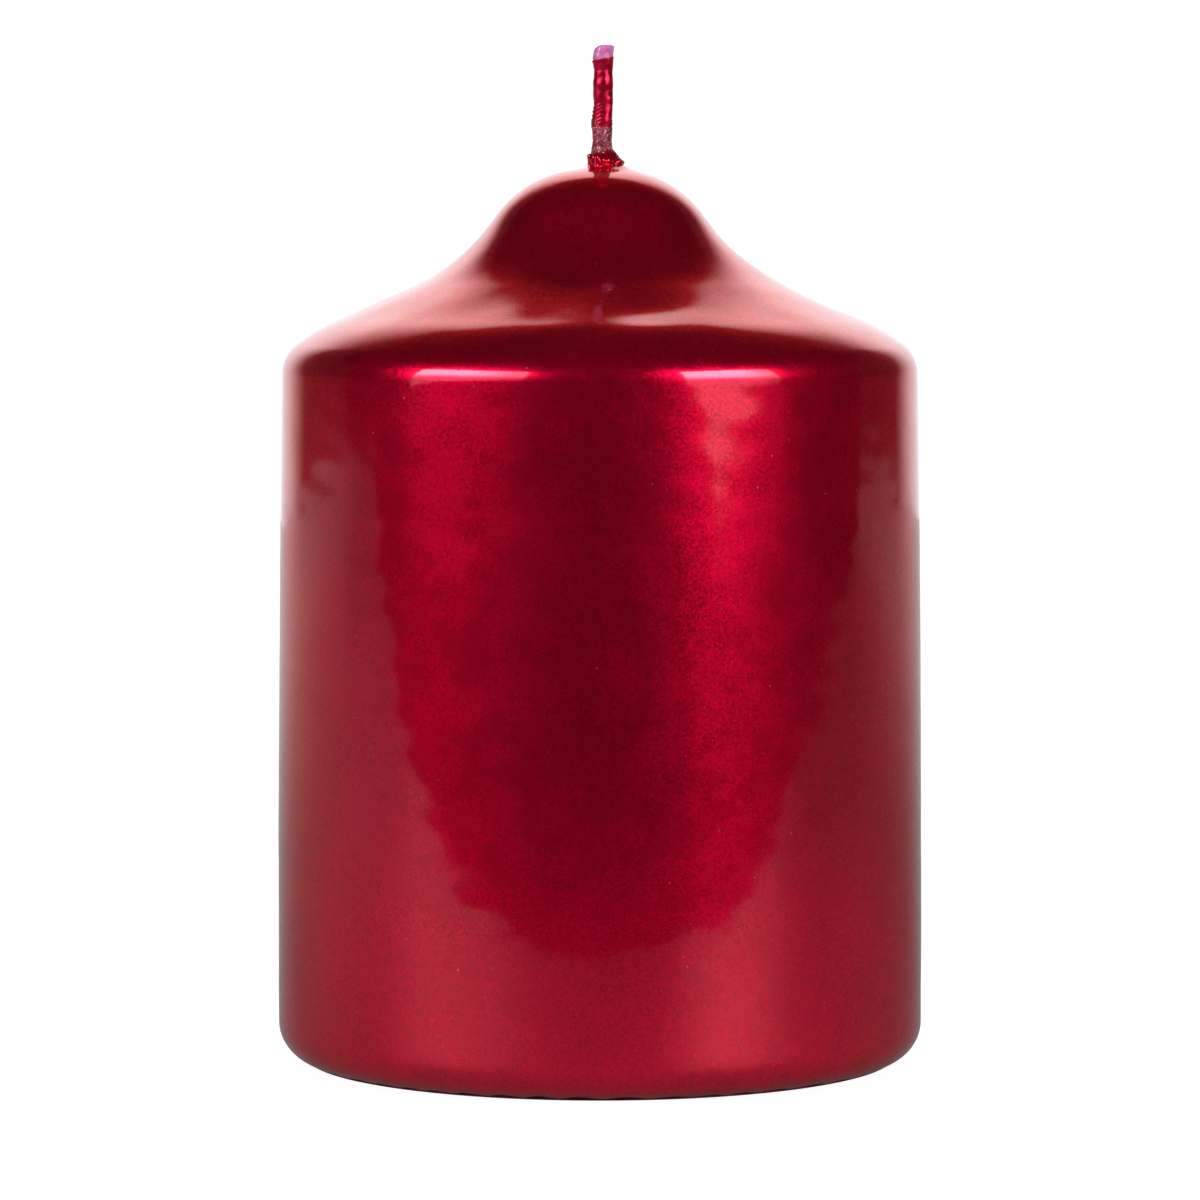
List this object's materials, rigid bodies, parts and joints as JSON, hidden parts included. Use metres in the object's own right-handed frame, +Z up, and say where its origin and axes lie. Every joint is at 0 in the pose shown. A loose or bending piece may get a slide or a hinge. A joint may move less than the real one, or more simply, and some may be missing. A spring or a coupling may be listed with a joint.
{
  "type": "pillar candle",
  "caption": "Round pillar candle with a domed shoulder, a metallic red lacquered finish and a short waxed wick standing on its dome.",
  "frame": {"origin": "centre of the base, on the surface that the candle stands on", "axes": "+Z up along the candle's axis towards the wick, -Y towards the viewer, +X to the viewer's right"},
  "size_m": [0.058, 0.058, 0.0911],
  "materials": {
    "pressed_wax": "matte",
    "overdip_wax": "satin",
    "metallic_lacquer": "gloss",
    "wick_cotton": "matte",
    "wick_wax": "gloss",
    "tinplate": "satin"
  },
  "bodies": {
    "root": {"wax_core": "pressed_wax", "overdip_coat": "overdip_wax", "lacquer_film": "metallic_lacquer", "wick_strand_a": "wick_cotton", "wick_strand_b": "wick_cotton", "wick_strand_c": "wick_cotton", "wick_wax_sheath": "wick_wax", "wick_lacquer_sleeve": "metallic_lacquer", "lacquer_collar": "metallic_lacquer", "wick_sustainer": "tinplate"}
  },
  "joints": []
}
